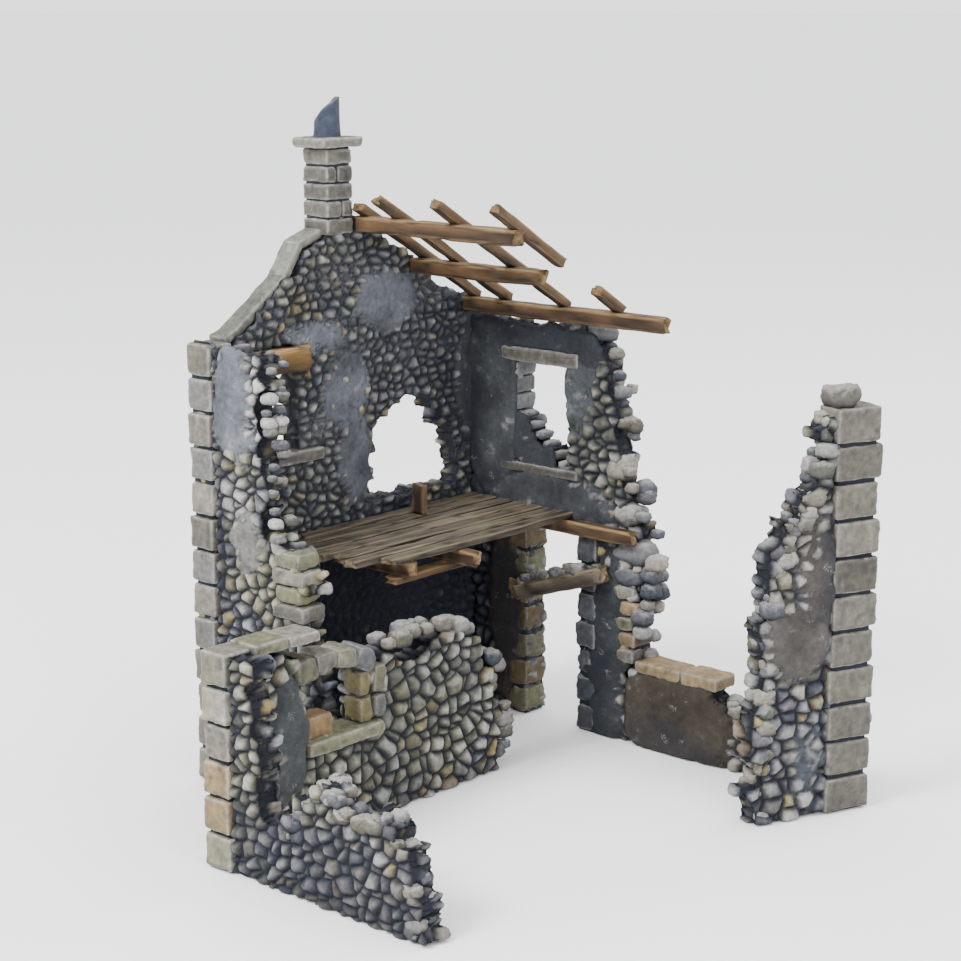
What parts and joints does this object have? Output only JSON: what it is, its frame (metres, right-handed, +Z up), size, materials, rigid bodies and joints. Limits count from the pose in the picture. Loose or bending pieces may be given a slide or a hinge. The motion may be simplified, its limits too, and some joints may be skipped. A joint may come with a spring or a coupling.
{
  "type": "miniature terrain ruin",
  "caption": "Tabletop ruin of a small stone house: gable with chimney, broken roof timbers, plank floor, back wall with window and doorway, and a low porch corner.",
  "frame": {"origin": "middle of the overall box, on the table", "axes": "+Z up, +Y from the porch to the back wall, +X from the gable to the right wall"},
  "size_m": [0.1513, 0.151, 0.1863],
  "materials": {
    "masonry": "rubble stone, dark wash and pale drybrush",
    "quoin": "taupe-grey blocks with pale edges",
    "dressed_stone": "grey dressed stone, drybrushed",
    "brick": "orange-brown brick, matt",
    "slate": "slate-blue, matt",
    "roof_timber": "painted as brown timber",
    "floor_timber": "painted as grey-brown timber",
    "ochre_timber": "painted as ochre timber"
  },
  "bodies": {
    "root": {"back_coping": "floor_timber", "back_low_wall": "masonry", "back_wall": "masonry", "broken_plank": "floor_timber", "chimney_cap": "dressed_stone", "chimney_courses": "dressed_stone", "chimney_pot": "slate", "door_left_blocks": "quoin", "door_right_blocks": "quoin", "eave_beam": "roof_timber", "fallen_lintel": "floor_timber", "floor_plank_1": "floor_timber", "floor_plank_2": "floor_timber", "floor_plank_3": "floor_timber", "floor_plank_4": "floor_timber", "floor_plank_5": "floor_timber", "floor_plank_6": "floor_timber", "floor_plank_7": "floor_timber", "front_joist": "floor_timber", "front_wall": "masonry", "gable_wall": "masonry", "house_quoins": "quoin", "ledge_beam": "floor_timber", "lintel_rubble": "masonry", "middle_joist": "floor_timber", "middle_purlin": "roof_timber", "porch_brick": "brick", "porch_coping": "dressed_stone", "porch_front_wall": "masonry", "porch_lintel": "dressed_stone", "porch_quoins": "quoin", "porch_side_wall": "masonry", "porch_sill": "dressed_stone", "rafter_1": "roof_timber", "rafter_2": "roof_timber", "rafter_3": "roof_timber", "rafter_4_lower": "roof_timber", "rafter_4_upper": "roof_timber", "ridge_beam": "roof_timber", "right_quoins": "quoin", "right_top_stone": "masonry", "right_wall": "masonry", "slot_lintel": "ochre_timber", "slot_sill": "dressed_stone", "upright_board": "floor_timber", "window_fill": "masonry", "window_lintel": "dressed_stone", "window_sill": "dressed_stone"}
  },
  "joints": []
}
